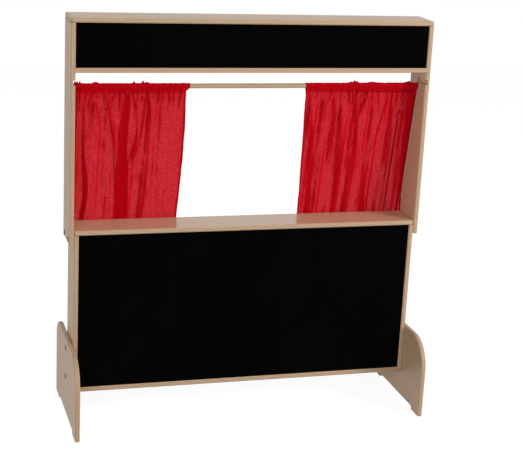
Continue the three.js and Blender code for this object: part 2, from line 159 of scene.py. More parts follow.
class Graph:
    """The node graph of a material or of the world."""

    def __init__(self, tree):
        self.tree = tree
        self.tree.nodes.clear()

    def node(self, kind, settings=None, inputs=None, output=0):
        made = self.tree.nodes.new(kind)
        for name, setting in (settings or {}).items():
            setattr(made, name, setting)
        for name, value in (inputs or {}).items():
            if isinstance(value, Value):
                self.tree.links.new(value.socket, made.inputs[name])
            else:
                made.inputs[name].default_value = value
        return Value(self, made.outputs[output]) if made.outputs else None

    def beside(self, value, *names):
        """Other sockets of the node that a value comes from."""
        return [Value(self, value.socket.node.outputs[name]) for name in names]

    def parts(self, vector):
        """The x, y and z of a vector."""
        x = self.node("ShaderNodeSeparateXYZ", None, {0: vector})
        return [x, *self.beside(x, 1, 2)]

    def mix(self, share, first, second):
        inputs = {0: share, 6: first, 7: second}
        return self.node("ShaderNodeMix", {"data_type": "RGBA"}, inputs, output=2)

    def stretched(self, place, scale):
        """Coordinates scaled by a different amount along each axis."""
        return self.node("ShaderNodeVectorMath", {"operation": "MULTIPLY"}, {0: place, 1: scale})

    def noise(self, place, scale, detail=2.0, roughness=0.5, distortion=0.0):
        inputs = {"Vector": place, "Scale": scale, "Detail": detail}
        inputs.update({"Roughness": roughness, "Distortion": distortion})
        return self.node("ShaderNodeTexNoise", None, inputs)

    def bump(self, height, strength, depth):
        inputs = {"Height": height, "Strength": strength, "Distance": depth}
        return self.node("ShaderNodeBump", None, inputs)

    def surface(self, shader):
        self.node("ShaderNodeOutputMaterial", None, {"Surface": shader})


def new_finish(name):
    material = bpy.data.materials.new(name)
    material.use_nodes = True
    return material, Graph(material.node_tree)


def principled(graph, inputs):
    return graph.node("ShaderNodeBsdfPrincipled", None, inputs)


print("a Graph has", ", ".join(name for name in vars(Graph) if name[0] != "_"))

# %% [markdown]
# ## The studio
# The picture has a pure white ground, so the floor and the world are white to the camera, and
# also to reflections and to light that passes through things. That is done with Light Path and a
# strength of 1, not by turning the lamps up, so the wood keeps its colour. The floor still shows
# a soft shadow, because part of what the camera sees of it is real diffuse shading.

# %% A white world
SKY_LEVEL = 0.355
WHITE = (1.0, 1.0, 1.0, 1.0)


def seen_directly(graph):
    """1 for rays from the camera, from glossy surfaces or through glass, and 0 for the light."""
    from_camera = graph.node("ShaderNodeLightPath", output="Is Camera Ray")
    glossy, through = graph.beside(from_camera, "Is Glossy Ray", "Is Transmission Ray")
    return from_camera.most(glossy).most(through)


world = bpy.data.worlds.new("studio")
world.use_nodes = True
bpy.context.scene.world = world
sky = Graph(world.node_tree)
level = seen_directly(sky) * (1 - SKY_LEVEL) + SKY_LEVEL
backdrop = sky.node("ShaderNodeBackground", None, {"Color": WHITE, "Strength": level})
sky.node("ShaderNodeOutputWorld", None, {"Surface": backdrop})
print("the sky is 1 to the eye and", SKY_LEVEL, "as a light")

# %% A white floor
FLOOR_SIZE = 14.0
FLOOR_ALBEDO = 0.60
FLOOR_GLOW = 0.88
FLOOR_SHADING = 0.30

floor_finish, graph = new_finish("studio_floor")
grey = (FLOOR_ALBEDO,) * 3 + (1.0,)
shade = (FLOOR_SHADING,) * 3 + (1.0,)
lit = graph.node("ShaderNodeBsdfDiffuse", None, {"Color": grey})
glow = graph.node("ShaderNodeEmission", None, {"Color": WHITE, "Strength": FLOOR_GLOW})
shadow = graph.node("ShaderNodeBsdfDiffuse", None, {"Color": shade})
shown = graph.node("ShaderNodeAddShader", None, {0: glow, 1: shadow})
share = seen_directly(graph)
graph.surface(graph.node("ShaderNodeMixShader", None, {0: share, 1: lit, 2: shown}))

half = FLOOR_SIZE / 2
floor_mesh = bpy.data.meshes.new("floor")
corners = [(-half, -half, 0), (half, -half, 0), (half, half, 0), (-half, half, 0)]
floor_mesh.from_pydata(corners, [], [(0, 1, 2, 3)])
floor_mesh.materials.append(floor_finish)
floor = bpy.data.objects.new("floor", floor_mesh)
bpy.context.scene.collection.objects.link(floor)
print("floor of", FLOOR_SIZE, "m")

# %% [markdown]
# ## A soft lamp
# The key softbox stands well round to the right, about a metre above the header. The right side
# panel keeps its light off a wedge of the shelf and off its own inner face, which then glows with
# the red that the curtain beside it gives back. A second, weaker softbox on the left of the camera
# fills the shadows, with the white room to help. Large lamps give soft shadows.

# %% Area lamps
LAMP_AIM = Vector((0, 0, 0.75))


def softbox(name, place, size, power):
    data = bpy.data.lights.new(name, "AREA")
    data.shape = "SQUARE"
    data.size = size
    data.energy = power
    lamp = bpy.data.objects.new(name, data)
    lamp.location = place
    lamp.rotation_euler = (LAMP_AIM - Vector(place)).to_track_quat("-Z", "Y").to_euler()
    bpy.context.scene.collection.objects.link(lamp)
    return lamp


key = softbox("key_softbox", place=(3.29, -2.76, 2.40), size=1.2, power=105.0)
fill = softbox("fill_softbox", place=(-2.0, -3.7, 2.3), size=2.0, power=52.0)
print("softboxes at", [tuple(round(x, 2) for x in lamp.location) for lamp in (key, fill)])

# %% [markdown]
# ## Birch plywood
# Birch plywood is a stack of thin veneers, each with its grain across the last. On a face only
# the top veneer shows, with fine lines along its length. On a rounded-over edge the router has
# cut through the stack, so pale long grain and darker end grain alternate, with a thin dark glue
# line between them. One solid texture gives all of this: the place through the thickness says
# which veneer a point is in, and the veneer says which way its grain runs. The edges need no
# separate material, and a groove or a hole shows the right layers too.

# %% The stack of veneers
MM = 0.001
PLY_COUNT = 7
OUTERMOST = 0.02  # how near the two faces a point may lie, in veneers
GLUE_FADE = (0.02, 0.09)  # from the glue to clear wood, in veneers
GLUE_STARTS = (0.5, 0.8)  # so deep, in veneers, that a face shows no glue


def veneers(share):
    """At a share of the thickness: the veneer's number, if it lies crosswise, and the glue."""
    depth = (share * PLY_COUNT).most(OUTERMOST).least(PLY_COUNT - OUTERMOST)
    number = depth.floor()
    within = depth - number
    inside = depth.step(*GLUE_STARTS) * (PLY_COUNT - depth).step(*GLUE_STARTS)
    glue = (1 - within.least(1 - within).step(*GLUE_FADE)) * inside
    return number, number % 2, glue


panel_low, panel_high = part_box("top_panel")
thickness = (panel_high.z - panel_low.z) / MM
print(round(thickness, 1), "mm plywood of", PLY_COUNT, "veneers")

# %% [markdown]
# The grain is noise drawn out along one axis. Four sizes of it lie over each other: slow clouds,
# the figure with its growth rings, the fibres, and tiny dark pores. The first three add up to how
# warm the colour is at each point. A surface that is cut across the fibres drinks more lacquer, so
# end grain is darker and duller. A rounded edge is paler than a face, since it is freshly cut.

# %% Noise drawn out along the grain
GRAIN_STRETCH = 0.035  # how much slower the pattern changes along the grain than across it


def along_grain(graph, place, grain):
    """Coordinates in which a noise is drawn out along one axis."""
    drawn = [part * GRAIN_STRETCH if axis == grain else part for axis, part in enumerate(place)]
    return graph.node("ShaderNodeCombineXYZ", None, dict(enumerate(drawn)))


print("a fibre is", round(1 / GRAIN_STRETCH), "times as long as it is wide")

# %% Plywood finish
FACE_PALE = (0.665, 0.465, 0.310, 1.0)
FACE_WARM = (0.550, 0.362, 0.222, 1.0)
END_GRAIN = (0.385, 0.240, 0.128, 1.0)
GLUE_LINE = (0.270, 0.170, 0.095, 1.0)
VENEER_SHIFT = 0.37  # metres of noise between one veneer's pattern and the next one's
CLOUD_SCALE = 3.1
FIGURE_SCALE = 13.0
RING_PACE = 46  # radians of rings while the figure's noise goes from 0 to 1
FIBRE_SCALE = 620.0
PORE_SCALE = 1500.0
EDGE_PALER = 0.45  # how much less warm a surface across the veneers is than a face


def plywood(name, through, along, gloss, shine):
    """Plywood with its veneers stacked along one axis and its face grain along another."""
    across = 3 - through - along
    material, graph = new_finish(name)
    coordinates = graph.node("ShaderNodeTexCoord", output="Object")
    generated, normal = graph.beside(coordinates, "Generated", "Normal")
    facing = graph.parts(normal)
    veneer, crossed, glue = veneers(graph.parts(generated)[through])

    shift = veneer * VENEER_SHIFT
    place = [part + shift for part in graph.parts(coordinates)]
    grain = graph.mix(crossed, along_grain(graph, place, along), along_grain(graph, place, across))
    end_on = abs(facing[along]) * (1 - crossed) + abs(facing[across]) * crossed
    edge = 1 - abs(facing[through])

    cloud = graph.noise(coordinates, CLOUD_SCALE, detail=3.0)
    figure = graph.noise(grain, FIGURE_SCALE, detail=3.0, distortion=0.6)
    rings = (figure * RING_PACE).sine() * 0.5 + 0.5
    fibre = graph.noise(grain, FIBRE_SCALE, detail=2.0, roughness=0.6)
    pores = 1 - graph.noise(grain, PORE_SCALE, detail=1.0).step(0.28, 0.36)

    warmth = cloud * 0.55 + figure * 0.35 + rings * 0.10 + fibre * 0.22 - 0.12
    face = graph.mix(warmth - edge * EDGE_PALER, FACE_PALE, FACE_WARM)
    face = graph.mix(pores * 0.35, face, END_GRAIN)
    speckled = graph.mix(fibre.step(0.35, 0.65) * 0.35, END_GRAIN, FACE_WARM)
    wood = graph.mix(end_on * end_on * 0.95, face, speckled)
    relief = fibre * 0.6 + figure * 0.3 - pores * 0.5 - glue * 0.6
    inputs = {
        "Base Color": graph.mix(glue * 0.7, wood, GLUE_LINE),
        "Roughness": fibre * 0.05 + pores * 0.08 + end_on * 0.10 + gloss,
        "Normal": graph.bump(relief, strength=0.12, depth=0.0003),
        "Specular IOR Level": shine,
    }
    graph.surface(principled(graph, inputs))
    return material


X, Y, Z = 0, 1, 2
top_plywood = plywood("birch_plywood_top", Z, X, gloss=0.34, shine=0.38)
level_plywood = plywood("birch_plywood_level", Z, X, gloss=0.16, shine=0.45)
upright_plywood = plywood("birch_plywood_upright", X, Z, gloss=0.42, shine=0.34)
foot_plywood = plywood("birch_plywood_foot", X, Y, gloss=0.42, shine=0.34)
print(len(foot_plywood.node_tree.nodes), "nodes in each of the four plywood finishes")

# %% [markdown]
# ## Dowel wood
# The curtain rod and the hidden dowels are turned from one straight piece of hardwood, so they
# have plain long grain along their axis and a darker face at each end. The same fibres as in the
# plywood are used, with no veneers.

# %% Dowel finish
DOWEL_PALE = (0.560, 0.400, 0.248, 1.0)
DOWEL_WARM = (0.430, 0.285, 0.158, 1.0)
DOWEL_FIGURE_SCALE = 90.0
DOWEL_FIBRE_SCALE = 800.0


def dowel_wood(name, along):
    material, graph = new_finish(name)
    coordinates = graph.node("ShaderNodeTexCoord", output="Object")
    facing = graph.parts(graph.beside(coordinates, "Normal")[0])
    grain = along_grain(graph, graph.parts(coordinates), along)
    figure = graph.noise(grain, DOWEL_FIGURE_SCALE, detail=3.0, distortion=0.3)
    fibre = graph.noise(grain, DOWEL_FIBRE_SCALE, detail=2.0)
    end_on = abs(facing[along]).step(0.6, 0.9)
    warmth = figure * 0.7 + fibre * 0.4 - 0.05
    long_grain = graph.mix(warmth, DOWEL_PALE, DOWEL_WARM)
    inputs = {
        "Base Color": graph.mix(end_on * 0.6, long_grain, END_GRAIN),
        "Roughness": fibre * 0.2 + 0.38,
        "Normal": graph.bump(fibre + figure * 0.5, strength=0.3, depth=0.0003),
    }
    graph.surface(principled(graph, inputs))
    return material


rod_wood = dowel_wood("dowel_wood_rod", along=X)
peg_wood = dowel_wood("dowel_wood_peg", along=Z)
print(len(rod_wood.node_tree.nodes), "nodes in each of the two dowel finishes")

# %% [markdown]
# ## Black writing boards
# The header and the front are thin boards with a matt black coating, almost without reflection.
# A flat black would look like a hole, so the coating keeps the fine rolled texture of such a
# board and the faint cloudy film that chalk and a cloth leave.

# %% Board finish
BOARD_BLACK = (0.0007, 0.0005, 0.0006, 1.0)
BOARD_DUST = (0.0022, 0.0018, 0.0020, 1.0)
WIPED_STRETCH = (1.0, 1.0, 0.45)  # a cloth wipes up and down more than sideways
WIPED_SCALE = 6.0
ROLLED_SCALE = 900.0


def writing_board(name):
    material, graph = new_finish(name)
    place = graph.node("ShaderNodeTexCoord", output="Object")
    wiped_place = graph.stretched(place, WIPED_STRETCH)
    wiped = graph.noise(wiped_place, WIPED_SCALE, detail=4.0, distortion=0.8)
    rolled = graph.noise(place, ROLLED_SCALE, detail=2.0)
    dust = wiped.step(0.45, 0.75) * 0.6 + rolled * 0.2
    inputs = {
        "Base Color": graph.mix(dust, BOARD_BLACK, BOARD_DUST),
        "Roughness": wiped * 0.15 + rolled * 0.15 + 0.68,
        "Specular IOR Level": 0.02,
        "Normal": graph.bump(rolled, strength=0.35, depth=0.0002),
    }
    graph.surface(principled(graph, inputs))
    return material


board_black = writing_board("black_board")
print(len(board_black.node_tree.nodes), "nodes in the board finish")

# %% [markdown]
# ## Bronzed steel
# The connector bolts are plated steel, browned and slightly dull, with fine turning marks round
# the head. Such marks are rings, so they are a sine of the distance from the bolt's axis, which
# runs along X. A stain, dark in the hollows, breaks them up.

# %% Steel finish
STEEL_LIGHT = (0.22, 0.18, 0.15, 1.0)
STEEL_DARK = (0.05, 0.04, 0.032, 1.0)
TURNING_PACE = 260  # radians of turning marks over one diameter
STAIN_SCALE = 240.0


def bronzed_steel(name):
    material, graph = new_finish(name)
    coordinates = graph.node("ShaderNodeTexCoord", output="Object")
    generated = graph.beside(coordinates, "Generated")[0]
    subtract, length = {"operation": "SUBTRACT"}, {"operation": "LENGTH"}
    centred = graph.node("ShaderNodeVectorMath", subtract, {0: generated, 1: (0.5, 0.5, 0.5)})
    flat = graph.stretched(centred, (0.0, 1.0, 1.0))
    radius = graph.node("ShaderNodeVectorMath", length, {0: flat}, output=1)
    turned = (radius * TURNING_PACE).sine()
    stain = graph.noise(coordinates, STAIN_SCALE, detail=3.0)
    inputs = {
        "Base Color": graph.mix(stain.step(0.3, 0.7), STEEL_DARK, STEEL_LIGHT),
        "Metallic": 1.0,
        "Roughness": stain * 0.2 + turned * 0.04 + 0.24,
        "Normal": graph.bump(turned + stain, strength=0.15, depth=0.0001),
    }
    graph.surface(principled(graph, inputs))
    return material


steel = bronzed_steel("bronzed_steel")
print(len(steel.node_tree.nodes), "nodes in the steel finish")

# %% [markdown]
# ## Dress the rigid pieces
# The rigid pieces stay as they are in the model: only the material in their slot changes. A few
# words in a piece's name are enough to say what it is made of. The words are tried in order, so
# that a dowel of the shelf is a dowel first.

# %% Put a finish on every rigid piece
FINISH_BY_WORD = {
    "dowel": peg_wood,
    "bolt": steel,
    "nut": steel,
    "board": board_black,
    "rod": rod_wood,
    "foot": foot_plywood,
    "top": top_plywood,
    "side": upright_plywood,
    "panel": level_plywood,
    "shelf": level_plywood,
}

rigid = [name for name in nodes if name not in ("curtain_left", "curtain_right")]
for name in rigid:
    finishes = [finish for word, finish in FINISH_BY_WORD.items() if word in name]
    nodes[name].material_slots[0].material = finishes[0]
print("finishes on", len(rigid), "rigid pieces")

# %% [markdown]
# ## How a gathered curtain is made
# Each curtain is one rectangle of thin red cotton. Its top is folded over and sewn down into a
# pocket for the rod, its bottom and sides have narrow double hems, and on the rod it is pushed
# together to about two thirds of its width. The spare width has to go somewhere: into many small
# puckers at the seam, which join into a few pleats lower down. Where a pleat lies over on its
# side there are three layers, and thin cotton is a deeper, purer red there.
#
# A cloth simulation would give folds, but not these folds in these places. So the cloth is laid
# out row by row. Seen from above, a row is a curve: it runs along, turns back at a pleat, turns
# again and runs on, as a letter Z does, and small waves use up what cloth is left. Every row has
# the same length, because cotton doesn't stretch, and it is cut into equal steps, so that each
# thread runs down the cloth as it should.
#
# The curtains don't hang plumb. Their hems are tucked behind the stage shelf, so each one slants
# back from the rod and leans on the shelf's rear edge.

# %% Sizes of the cloth
rod_low, rod_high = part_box("curtain_rod")
ROD_Y = (rod_low.y + rod_high.y) / 2
ROD_Z = (rod_low.z + rod_high.z) / 2
ROD_RADIUS = (rod_high.z - rod_low.z) / 2
shelf_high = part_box("stage_shelf")[1]
POCKET_EASE = 1.0 * MM  # from the rod to the cloth round it
SEAM_DROP = 17.5 * MM  # from the rod's axis down to the seam
SEAM_ALLOWANCE = 6 * MM
HEM_BELOW_STAGE = 15 * MM
HEM_DEPTH = 12 * MM
SIDE_HEM = 8 * MM
LAYER_GAP = 0.5 * MM
PLEAT_DEPTH = 6.0 * MM  # how far the deepest pleats stand out
EDGE_PLAY = 3.2 * MM  # from the shelf's rear edge to the pleats that lean on it

SEAM_Z = ROD_Z - SEAM_DROP
FALL = SEAM_Z - (shelf_high.z - HEM_BELOW_STAGE)
SLANT = (shelf_high.y + EDGE_PLAY + PLEAT_DEPTH - ROD_Y) / (SEAM_Z - shelf_high.z)
slant_degrees = math.degrees(math.atan(SLANT))
print("the cloth falls", round(FALL, 4), "m and slants back", round(slant_degrees, 1), "degrees")

# %% [markdown]
# A pleat is described by its course, a few rows of three numbers: how far down it is, from 0 at
# the seam to 1 at the hem, where its middle is, and how wide a band of cloth it covers. The last
# two are in millimetres. A band below 0 means that the pleat has opened out and is gone. A pleat
# can be sharp or soft, which is how many millimetres its bends take. It can lie over to the right
# (1) or to the left (-1), and the cloth starts to come forward a little before it, which is its
# lead.
#
# The two edges of a curtain have a course too, with no band. `flare` is how far each end of the
# pocket spreads sideways, `calm` is a stretch that hangs almost flat, `sway` is the strength of
# the waves, and each of the `frills`, the little crests over the rod, has a place, a height and
# a width.

# %% What describes a pleat and a curtain
Pleat = namedtuple("Pleat", "course soft side lead", defaults=(1, 15))
Curtain = namedtuple(
    "Curtain", "name body low_edge high_edge flare calm flat_width sway pleats frills seed"
)
print("a pleat has", ", ".join(Pleat._fields))

# %% The left curtain
left_curtain = Curtain(
    name="curtain_left",
    body="left_curtain",
    low_edge=((0, -589), (1, -586)),
    high_edge=((0, -221), (0.24, -216), (0.53, -216), (0.75, -218), (1, -223)),
    flare=(0, 11),
    calm=(-292, -215),
    flat_width=0.540,
    sway=1.3,
    pleats=(
        Pleat(((0, -579, 7), (0.5, -578, 8), (1, -579, 7)), soft=2.0),
        Pleat(
            ((0, -554, 5), (0.3, -551, 9), (0.45, -549, 13), (0.6, -541, 15), (0.75, -536, 16),
             (0.87, -540, 14), (1, -551, 12)),
            soft=3.4,
        ),
        Pleat(
            ((0, -545, 4), (0.1, -538, 6), (0.3, -528, 5), (0.42, -524, -4), (1, -523, -4)),
            soft=2.0,
        ),
        Pleat(
            ((0, -524, 4), (0.1, -516, 7), (0.2, -504, 7), (0.38, -498, 4), (0.5, -495, -4),
             (1, -494, -4)),
            soft=2.2,
        ),
        Pleat(
            ((0, -486, 7), (0.1, -478, 10), (0.2, -468, 13), (0.31, -457, 16), (0.4, -451, 16),
             (0.5, -448, 13), (0.6, -446, 7), (0.72, -445, -4), (1, -445, -4)),
            soft=3.6, side=-1,
        ),
        Pleat(
            ((0, -411, 10), (0.06, -413, 14), (0.17, -419, 21), (0.31, -423, 28),
             (0.45, -422, 32), (0.6, -421, 34), (0.8, -419, 33), (1, -416, 32)),
            soft=1.4, lead=36,
        ),
        Pleat(
            ((0, -386, 4), (0.1, -384, 7), (0.22, -379, 8), (0.32, -377, 12), (0.4, -381, 22),
             (0.49, -386, 36), (0.55, -387, -10), (1, -388, -4)),
            soft=3.0, lead=8,
        ),
        Pleat(
            ((0, -352, 7), (0.17, -356, 9), (0.31, -360, 9), (0.42, -364, 5), (0.5, -368, -4),
             (1, -382, -4)),
            soft=2.6,
        ),
        Pleat(
            ((0, -340, 5), (0.17, -336, 8), (0.4, -336, 11), (0.7, -340, 12), (1, -348, 10)),
            soft=2.6,
        ),
        Pleat(
            ((0, -306, 6), (0.24, -302, 9), (0.38, -300, 6), (0.53, -298, 4), (0.68, -296, -4),
             (1, -296, -4)),
            soft=2.4,
        ),
    ),
    frills=(
        (-586, 5, 2), (-579, 4, 3), (-570, 5, 2), (-519, 3, 8), (-394, 4, 3), (-365, 5, 3),
        (-352, 2, 8),
    ),
    seed=5,
)
print(len(left_curtain.pleats), "pleats and", len(left_curtain.frills), "frills on the left")

# %% The right curtain
right_curtain = Curtain(
    name="curtain_right",
    body="right_curtain",
    low_edge=((0, 190), (0.24, 197), (0.46, 201), (0.68, 204), (1, 210)),
    high_edge=((0, 592.2), (0.8, 592.4), (0.86, 595), (0.93, 599.5), (1, 602)),
    flare=(-1, 0.6),
    calm=(564, 640),
    flat_width=0.585,
    sway=2.0,
    pleats=(
        Pleat(
            ((0, 212, 4), (0.15, 218, 9), (0.3, 226, 17), (0.42, 232, 23), (0.6, 238, 28),
             (0.8, 241, 29), (1, 245, 29)),
            soft=4.0,
        ),
        Pleat(
            ((0, 262, 4), (0.1, 266, 7), (0.2, 268, 7), (0.32, 268, 4), (0.4, 266, -4),
             (1, 264, -4)),
            soft=2.2,
        ),
        Pleat(
            ((0, 288, 5), (0.1, 297, 10), (0.24, 305, 14), (0.38, 306, 14), (0.5, 306, 9),
             (0.62, 306, -4), (1, 306, -4)),
            soft=1.6,
        ),
        Pleat(
            ((0, 318, 3), (0.15, 330, 6), (0.3, 340, 9), (0.45, 344, 14), (0.62, 345, 22),
             (0.8, 344, 25), (1, 341, 24)),
            soft=3.8,
        ),
        Pleat(
            ((0, 372, 8), (0.17, 380, 13), (0.4, 391, 17), (0.6, 394, 17), (0.77, 393, 14),
             (1, 386, 8)),
            soft=2.2,
        ),
        Pleat(
            ((0, 425, 6), (0.15, 427, 6), (0.4, 428, 5), (0.52, 430, 9), (0.65, 436, 18),
             (0.8, 441, 26), (1, 447, 30)),
            soft=4.0,
        ),
        Pleat(
            ((0, 489, 5), (0.1, 484, 8), (0.25, 474, 8), (0.38, 462, 7), (0.47, 452, 5),
             (0.53, 446, -4), (1, 440, -4)),
            soft=1.6, side=-1,
        ),
        Pleat(
            ((0, 506, 5), (0.17, 512, 9), (0.4, 518, 13), (0.7, 519, 11), (1, 514, 9)),
            soft=3.8,
        ),
        Pleat(
            ((0, 572, 22), (0.3, 574, 22), (0.45, 575, 20), (0.6, 577, 17), (0.8, 579, 14),
             (1, 582, 12)),
            soft=2.0,
        ),
    ),
    frills=((352, 3, 6), (364, 5, 3), (372, 3, 5), (430, 2, 14), (560, 3, 9)),
    seed=11,
)
print(len(right_curtain.pleats), "pleats and", len(right_curtain.frills), "frills on the right")

# %% [markdown]
# ## From courses to rows
# The sheet has a fixed number of rows between the seam and the hem, closer together near the seam,
# where the cloth changes fastest. A course is a broken line, which would leave a kink at each of
# its rows, so it is read off at every row of the sheet and smoothed by a running mean.

# %% Read a course at every row
SHEET_ROWS = 130
ROW_CROWDING = 1.4  # 1 would space the rows evenly
LEVELS = np.linspace(0, 1, SHEET_ROWS) ** ROW_CROWDING


def smoothed(values, width=7):
    """A running mean, with the ends held."""
    padded = np.pad(values, width, mode="edge")
    kernel = np.ones(2 * width + 1) / (2 * width + 1)
    return np.convolve(padded, kernel, mode="valid")


def course_of(rows):
    """The columns of a course after its first, in metres, at each row of the sheet."""
    table = np.array(rows, float)
    return [smoothed(np.interp(LEVELS, table[:, 0], column)) * MM for column in table[:, 1:].T]


def seam_ends(curtain):
    """Where the curtain starts and ends along its seam, in metres."""
    return [course_of(edge)[0][0] for edge in (curtain.low_edge, curtain.high_edge)]


row_gaps = np.diff(LEVELS) * FALL / MM
print(SHEET_ROWS, "rows,", round(row_gaps[0], 2), "to", round(row_gaps[-1], 2), "mm apart")

# %% Soft steps and corners
PLEAT_OPENS = 0.02  # the share of the fall in which the puckers become pleats
Shape = namedtuple("Shape", "middle band soft side lead")


def eased(share):
    """0 below 0, 1 above 1, and a smooth S between them."""
    share = np.clip(share, 0, 1)
    return share * share * (3 - 2 * share)


def bent(distance, soft):
    """0 below 0 and the distance itself above it, with a rounded corner."""
    return soft * np.logaddexp(0, distance / soft)


def risen(distance, soft):
    """0 below 0 and 1 above it, with a smooth rise."""
    return (1 + np.tanh(distance / (2 * soft))) / 2


def shape_of(pleat):
    """A pleat in metres, with its middle and its band at each row."""
    middle, band = course_of(pleat.course)
    band = np.clip(band, 0, None) * eased(LEVELS / PLEAT_OPENS)
    return Shape(middle, band, pleat.soft * MM, pleat.side, pleat.lead * MM)


widest = [max(shape_of(pleat).band) / MM for pleat in left_curtain.pleats]
print("widest bands on the left, in mm:", [round(band, 1) for band in widest])

# %% [markdown]
# ## Puckers, tucks and crumples
# The small puckers at the seam are made by chance, with a fixed seed, so that they come out the
# same each time: each has a place, a height, a width, a length over which it fades, and a drift
# to one side as it goes down. There are two kinds: fine ones that fade at once, and coarser ones
# that spread like a fan. They take turns: one comes forward, and the next goes back by less than
# a third as much.

# %% Puckers at the seam
Kind = namedtuple("Kind", "spacing height width fade drift")  # widths and drifts in mm
FINE = Kind(3.4 * MM, 1.0 * MM, (1.1, 1.6), (0.015, 0.04), 20)
FANNED = Kind(9 * MM, 4.6 * MM, (1.7, 3.0), (0.05, 0.13), 130)
PUCKER_SCATTER = 0.35  # of the spacing, to either side
PUCKER_HEIGHTS = (0.1, 1.7)  # the least and the most, over the kind's own height
PUCKER_TURNS = (-1, 0.3)  # forward, and then back
Pucker = namedtuple("Pucker", "place height width fade drift")


def puckers_of(curtain, low, high):
    chance = np.random.default_rng(curtain.seed)
    puckers = []
    for kind in (FINE, FANNED):
        count = 2 * round((high - low) / kind.spacing / 2)
        for i in range(count):
            scatter = chance.uniform(-PUCKER_SCATTER, PUCKER_SCATTER)
            place = low + (high - low) * (i + 0.5 + scatter) / count
            height = kind.height * chance.uniform(*PUCKER_HEIGHTS) * PUCKER_TURNS[i % 2]
            width, fade = chance.uniform(*kind.width) * MM, chance.uniform(*kind.fade)
            drift = chance.uniform(-kind.drift, kind.drift) * MM
            puckers.append(Pucker(place, height, width, fade, drift))
    return puckers


made = puckers_of(left_curtain, *seam_ends(left_curtain))
print(len(made), "puckers along the left curtain's seam")

# %% [markdown]
# Some of the cloth folds over just below the seam, in tucks: short pleats by chance, lying to
# either side, that open out within a few centimetres. Further down, soft dents from handling lie
# all over the sheet, in three sizes. Each size is a coarse net of chance depths, smoothed.

# %% Tucks below the seam
TUCK_SPACING = 30 * MM
TUCK_SCATTER = (0.1, 0.9)  # within its share of the seam
TUCK_BAND = (2.0, 5.0)
TUCK_DRIFT = 9
TUCK_ENDS = (0.04, 0.14)
TUCK_SOFT = (0.8, 1.3)
HALFWAY = 0.8  # how much of its band a tuck has left at half its length
OPENED = -2  # a band below 0


def tucks_of(curtain, low, high):
    chance = np.random.default_rng(curtain.seed + 2)
    count = round((high - low) / TUCK_SPACING)
    tucks = []
    for i in range(count):
        place = (low + (high - low) * (i + chance.uniform(*TUCK_SCATTER)) / count) / MM
        band, drift = chance.uniform(*TUCK_BAND), chance.uniform(-TUCK_DRIFT, TUCK_DRIFT)
        ends = chance.uniform(*TUCK_ENDS)
        course = (
            (0, place, band),
            (ends / 2, place + drift / 2, band * HALFWAY),
            (ends, place + drift, OPENED),
            (1, place + drift, OPENED),
        )
        tucks.append(Pleat(course, chance.uniform(*TUCK_SOFT), chance.choice((-1, 1))))
    return tucks


made = tucks_of(left_curtain, *seam_ends(left_curtain))
print(len(made), "tucks below the left curtain's seam")

# %% Crumples over the sheet
DENTS = [(size * MM, 0.05 * size * MM) for size in (9, 16, 30)]  # how far apart and how deep
DENT_BLUR = 3  # a third of the spacing is smoothed over to either side
LEAST_NET = 4


def crumple_of(curtain, columns, spacing, depth):
    """Soft dents over the sheet: chance depths on a coarse net, smoothed in both directions."""
    chance = np.random.default_rng(curtain.seed + round(spacing / MM))
    down = max(LEAST_NET, round(FALL / spacing))
    across = max(LEAST_NET, round(curtain.flat_width / spacing))
    net = chance.normal(0, depth, (down, across))
    places = np.linspace(0, across - 1, columns)
    wide = np.array([np.interp(places, np.arange(across), row) for row in net])
    places = LEVELS * (down - 1)
    full = np.array([np.interp(places, np.arange(down), column) for column in wide.T]).T
    span = max(1, round(columns * spacing / curtain.flat_width / DENT_BLUR))
    full = np.array([smoothed(row, span) for row in full])
    rows = max(1, round(SHEET_ROWS * spacing / FALL / DENT_BLUR))
    return np.array([smoothed(column, rows) for column in full.T]).T


print("dents", [round(spacing / MM) for spacing, _ in DENTS], "mm apart")

# %% [markdown]
# ## One row of the cloth, seen from above
# A row starts as a straight line with an even pace. Each pleat then makes it run back over its
# band before it goes on, and gives the Z its depth. The cloth that arrives comes forward over the
# pleat's lead, and a narrow pleat stands out less than a wide one.

# %% Fold a row into its pleats
ROW_STEPS = 2000
PLEAT_RISE = 0.35  # how far a narrow pleat stands out, as a share of its band
LEAST_LEAD = 2 * MM


def front_of(shape, turn, back, band, room):
    """How far forward the cloth is along a pleat, as a share of the pleat's depth."""
    turned = (risen(turn, shape.soft) + risen(back, shape.soft)) / 2
    if shape.side > 0:
        lead = np.clip(room, LEAST_LEAD, shape.lead) + band / 2
        return eased((turn + band / 2) / lead + 1) - turned
    return turned - eased((back - band / 2) / shape.lead)


def folded_row(shapes, ends, row, fullness):
    """The x and the depth of a row at equal steps along the cloth."""
    bands = [fullness * shape.band[row] for shape in shapes]
    along = np.linspace(0, ends[1] - ends[0] + 2 * sum(bands), ROW_STEPS)
    x, y, spent, edge = ends[0] + along, np.zeros(ROW_STEPS), 0.0, ends[0]
    for shape, band in zip(shapes, bands):
        low = shape.middle[row] - band / 2
        turn = along - (low + band - ends[0] + 2 * spent)
        back = turn - band
        x -= 2 * (bent(turn, shape.soft) - bent(back, shape.soft))
        depth = min(PLEAT_DEPTH, PLEAT_RISE * band)
        y -= depth * front_of(shape, turn, back, band, low - edge)
        spent += band
        edge = low + band
    x -= np.interp(along, (0, along[-1]), (x[0] - ends[0], x[-1] - ends[1]))
    return x, y


print("a pleat stands out by", PLEAT_DEPTH / MM, "mm at most")

# %% [markdown]
# The waves are fixed: three sines of different lengths, which turn a little on the way down. They
# grow from nothing at the seam, where the puckers have the say.

